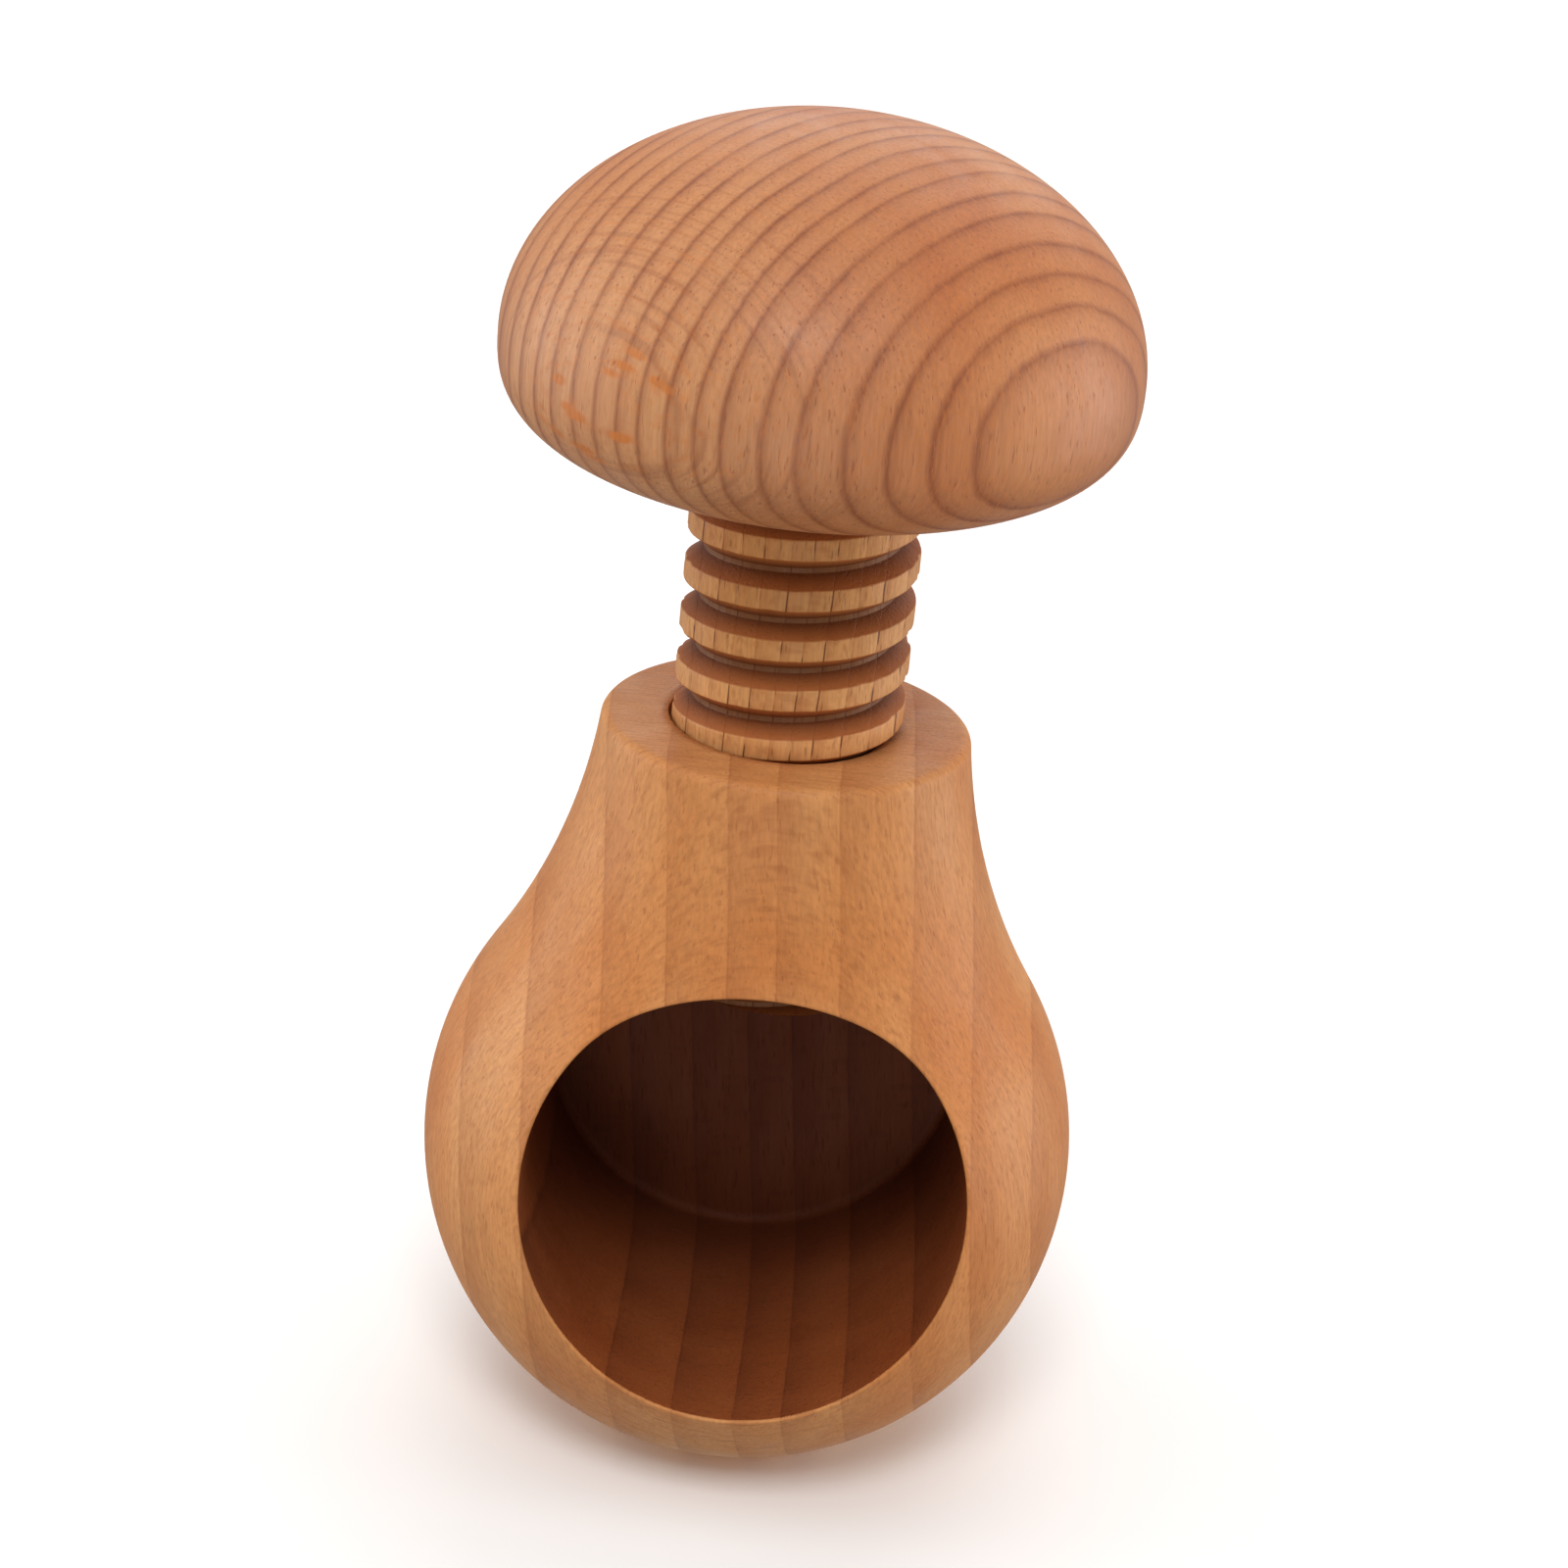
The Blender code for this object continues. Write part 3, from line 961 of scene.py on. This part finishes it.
@dataclass
class ScrewSpindle:
    """The threaded rod that presses the nut, with the tenon that holds the cap."""

    thread: WoodThread
    finish: SteamedBeech
    neck_top: float
    node: str = "screw_spindle"
    tip_reach: float = 0.0006  # how far the tip runs past the CAD's
    tip_chamfer: float = 0.0006
    tenon_radius: float = 0.0070
    tenon_length: float = 0.0150
    tenon_chamfer: float = 0.0008
    chip: float = 0.00022  # how deep the crest's edges are chipped
    chip_across: float = 0.0006  # how big a chip is across the fibres
    chip_along: float = 0.004  # and along them
    chip_from: float = 0.45  # how much of the crest's half width stays whole
    chip_rarity: float = 0.12
    chip_gain: float = 2.2

    def build(self) -> bpy.types.Object:
        """Cut the thread, chip its crests as the cutter did, and finish the rod.

        Returns:
            The piece.
        """
        low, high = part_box(self.node)
        low.z -= self.tip_reach
        shoulder = high.z - self.tenon_length
        past = self.thread.pitch
        blank = self.thread.radius + past
        outline = [
            (0, low.z),
            (self.thread.radius - self.tip_chamfer, low.z),
            (blank, low.z + self.tip_chamfer + blank - self.thread.radius),
            (blank, shoulder),
            (self.tenon_radius, shoulder),
            (self.tenon_radius, high.z - self.tenon_chamfer),
            (self.tenon_radius - self.tenon_chamfer, high.z),
            (0, high.z),
        ]
        rod = self.thread.rod("beech_spindle", low.z - past, high.z + past, self.neck_top)
        carve(rod, turned("blank", outline, self.thread.steps), "INTERSECT")
        bm = bmesh.new()
        bm.from_mesh(rod.data)
        self.chip_crests(bm, low.z, shoulder)
        bm.to_mesh(rod.data)
        bm.free()
        rod.data.shade_smooth()
        rod.data.set_sharp_from_angle(angle=CREASE)
        return dress(rod, self.finish.material(), "screw", self.node)

    def chip_crests(self, bm: bmesh.types.BMesh, low: float, high: float) -> None:
        """Crumble the crest's edges a little, where the cutter met short fibres.

        Args:
            bm: The rod's mesh.
            low: Where the thread starts.
            high: Where it ends.
        """
        for vert in bm.verts:
            radius = math.hypot(vert.co.x, vert.co.y)
            if radius < self.thread.radius - 0.5 * self.thread.depth or not low < vert.co.z < high - WELD:
                continue
            angle = math.atan2(vert.co.x, -vert.co.y)
            turns = (vert.co.z - self.neck_top - self.thread.rise) / self.thread.pitch
            off = abs((turns + angle / FULL_TURN + 0.5) % 1 - 0.5) * self.thread.pitch
            edge = max(0.0, off / (self.thread.crest / 2) - self.chip_from) / (1 - self.chip_from)
            spot = (vert.co.x / self.chip_across, vert.co.y / self.chip_across, vert.co.z / self.chip_along)
            pit = max(0.0, noise.noise(Vector(spot)) - self.chip_rarity) * self.chip_gain
            inward = Vector((vert.co.x, vert.co.y, 0)) / radius
            vert.co -= inward * min(1.0, pit) * self.chip * min(1.0, edge)


@dataclass
class MushroomCap:
    """The handle: a turned cap with a blind mortise for the spindle's tenon."""

    finish: SteamedBeech
    node: str = "mushroom_cap"
    belly: float = 0.0124
    belly_power: float = 2.7
    mortise_radius: float = 0.0073
    mortise_edge: float = 0.0005
    mortise_depth: float = 0.0165
    chords: int = 60  # for each quarter of the outline
    steps: int = 192

    def outline(self) -> Outline:
        """Work out the turned outline, from the mortise's end down, round and over the crown."""
        low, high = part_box(self.node)
        radius = (high.x - low.x) / 2
        widest = low.z + self.belly
        dome = high.z - widest
        under = []
        for step in range(1, self.chords + 1):
            a = math.pi / 2 * step / self.chords
            r = radius * math.sin(a) ** (2 / self.belly_power)
            z = widest - self.belly * math.cos(a) ** (2 / self.belly_power)
            if r > self.mortise_radius + 2 * self.mortise_edge:
                under.append((r, z))
        over = [
            (radius * math.cos(a), widest + dome * math.sin(a))
            for a in (math.pi / 2 * step / self.chords for step in range(1, self.chords))
        ]
        return [
            (0, low.z + self.mortise_depth),
            (self.mortise_radius, low.z + self.mortise_depth),
            (self.mortise_radius, low.z + self.mortise_edge),
            (self.mortise_radius + self.mortise_edge, low.z),
            *under, *over, (0, high.z),
        ]

    def build(self) -> bpy.types.Object:
        """Turn the cap and finish it.

        Returns:
            The piece.
        """
        cap = turned("beech_cap", self.outline(), self.steps)
        return dress(cap, self.finish.material(), "screw", self.node)


@dataclass
class GluePad:
    """The dried glue at the mortise's end: the CAD's own solid, with a better finish."""

    finish: DriedWoodGlue
    node: str = "glue_pad"

    def build(self) -> bpy.types.Object:
        """Dress the CAD's solid.

        Returns:
            The CAD node's object.
        """
        pad = frame["nodes"][self.node]
        material = self.finish.material()
        for place in range(len(pad.material_slots)):
            pad.material_slots[place].material = material
        return pad


def dress(piece: bpy.types.Object, material: bpy.types.Material, body: str, node: str) -> bpy.types.Object:
    """Give a piece its material and its place on the frame.

    Args:
        piece: The piece.
        material: Its finish.
        body: The CAD body it rides on.
        node: The CAD node it stands for.

    Returns:
        The piece.
    """
    piece.data.materials.clear()
    piece.data.materials.append(material)
    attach(piece, body)
    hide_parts(node)
    return piece


# ---------------------------------------------------------------- the studio


@dataclass
class Studio:
    """A pale floor, soft lights and the camera."""

    lens_mm: float = 88.17
    distance: float = 0.36785
    azimuth: float = -0.6506
    elevation: float = 22.7377
    roll: float = 5.5635
    aim: tuple[float, float, float] = (0.00031, 0.0, 0.06649)
    floor_size: float = 6.0
    floor_colour: str = "#FBFAF9"
    fill: float = 0.38  # how bright the even light all round is
    overhead_power: float = 0.8
    overhead_azimuth: float = -130
    overhead_tilt: float = 14
    overhead_width: float = 90  # how wide it looks from the object, in degrees
    light_aim: tuple[float, float, float] = (0.0, 0.0, 0.06)
    boxes: tuple[tuple[str, float, float, float, float, float], ...] = (
        # name, azimuth, elevation, distance, size and power
        ("key_box", -4, 51, 1.0, 0.35, 4.1),
        ("table_glow", -6, -10, 1.0, 0.22, 1.5),
        ("left_box", -102, 8, 1.0, 0.8, 5.2),
        ("right_box", 98, 3, 1.0, 0.8, 6.4),
        ("back_box", 170, 34, 1.2, 1.0, 4.2),
    )

    def camera(self) -> None:
        """Set up the camera."""
        data = bpy.data.cameras.new("camera")
        data.sensor_width = 36
        data.lens = self.lens_mm
        data.clip_start, data.clip_end = 0.01, 20
        camera = bpy.data.objects.new("camera", data)
        bpy.context.scene.collection.objects.link(camera)
        turn = (
            Matrix.Rotation(math.radians(self.azimuth), 4, "Z")
            @ Matrix.Rotation(math.radians(90 - self.elevation), 4, "X")
            @ Matrix.Rotation(math.radians(self.roll), 4, "Z")
        )
        back = turn @ Vector((0, 0, 1))
        camera.matrix_world = Matrix.Translation(Vector(self.aim) + back * self.distance) @ turn
        bpy.context.scene.camera = camera

    def floor(self) -> None:
        """Lay the floor."""
        bm = bmesh.new()
        bmesh.ops.create_grid(bm, x_segments=2, y_segments=2, size=self.floor_size / 2)
        floor = as_object("floor", bm)
        made, tree, place = blank_material("matt_white_board")
        tooth = add(tree, "TexNoise", {"Vector": place, "Scale": 300.0, "Detail": 2.0})
        gloss = add(tree, "MapRange", {"Value": tooth, "To Min": 0.85, "To Max": 0.95})
        shader = add(
            tree, "BsdfPrincipled",
            {"Base Color": self.floor_colour, "Roughness": gloss, "Specular IOR Level": 0.1},
        )
        add(tree, "OutputMaterial", {"Surface": shader})
        floor.data.materials.append(made)
        floor.visible_diffuse = False  # the board throws no light back up
        floor.visible_glossy = False
        floor.visible_shadow = False  # and lets the low light through

    def light(self, name: str, azimuth: float, elevation: float, distance: float, size: float,
              power: float) -> None:
        """Hang a soft box that faces the object.

        Args:
            name: The light's name.
            azimuth: Its side, in degrees from the front towards the right.
            elevation: Its height, in degrees above the floor.
            distance: How far it is from the object.
            size: The length of its sides.
            power: Its power, in watts.
        """
        data = bpy.data.lights.new(name, "AREA")
        data.shape = "SQUARE"
        data.size = size
        data.energy = power
        lamp = bpy.data.objects.new(name, data)
        bpy.context.scene.collection.objects.link(lamp)
        turn = (
            Matrix.Rotation(math.radians(azimuth), 4, "Z")
            @ Matrix.Rotation(math.radians(90 - elevation), 4, "X")
        )
        spot = Vector(self.light_aim) + turn @ Vector((0, 0, distance))
        lamp.matrix_world = Matrix.Translation(spot) @ turn

    def backdrop(self) -> bpy.types.World:
        """Make the even light all round, with a paler wall for the camera to see.

        Returns:
            The world.
        """
        world = bpy.data.worlds.new("studio")
        world.use_nodes = True
        tree = world.node_tree
        tree.nodes.clear()
        path = add(tree, "LightPath", {})
        glow = add(tree, "Background", {"Color": "#FFFFFF", "Strength": self.fill})
        wall = add(tree, "Background", {"Color": self.floor_colour, "Strength": 1.0})
        both = add(tree, "MixShader", {0: path.outputs["Is Camera Ray"], 1: glow, 2: wall})
        add(tree, "OutputWorld", {"Surface": both})
        return world

    def overhead(self) -> None:
        """Hang the broad light overhead, a little behind and to the left, so wide that it is even."""
        data = bpy.data.lights.new("overhead", "SUN")
        data.energy = self.overhead_power
        data.angle = math.radians(self.overhead_width)
        lamp = bpy.data.objects.new("overhead", data)
        bpy.context.scene.collection.objects.link(lamp)
        lamp.matrix_world = (
            Matrix.Rotation(math.radians(self.overhead_azimuth), 4, "Z")
            @ Matrix.Rotation(math.radians(self.overhead_tilt), 4, "X")
        )

    def build(self) -> None:
        """Set everything up."""
        scene = bpy.context.scene
        scene.view_settings.view_transform = "Standard"
        scene.world = self.backdrop()
        self.floor()
        for box in self.boxes:
            self.light(*box)
        self.overhead()
        self.camera()


def main() -> None:
    """Build the nutcracker and its studio."""
    for thing in list(bpy.context.scene.objects):
        if thing.name in ("Cube", "Light", "Camera"):
            bpy.data.objects.remove(thing, do_unlink=True)
    thread = WoodThread()
    block = BodyBlock(thread, BLOCK_BEECH, SHADED_BORED_BEECH)
    makers: list[tuple[str, Callable[[], bpy.types.Object]]] = [
        ("body", block.build),
        ("spindle", ScrewSpindle(thread, SPINDLE_BEECH, block.neck_top).build),
        ("cap", MushroomCap(CAP_BEECH).build),
        ("glue", GluePad(DriedWoodGlue()).build),
    ]
    for label, make in makers:
        piece = make()
        LOG.info("%s: %s, %d faces", label, piece.name, len(piece.data.polygons))
    Studio().build()


if __name__ == "__main__":
    logging.basicConfig(level=logging.INFO, format="%(name)s: %(message)s")
    main()
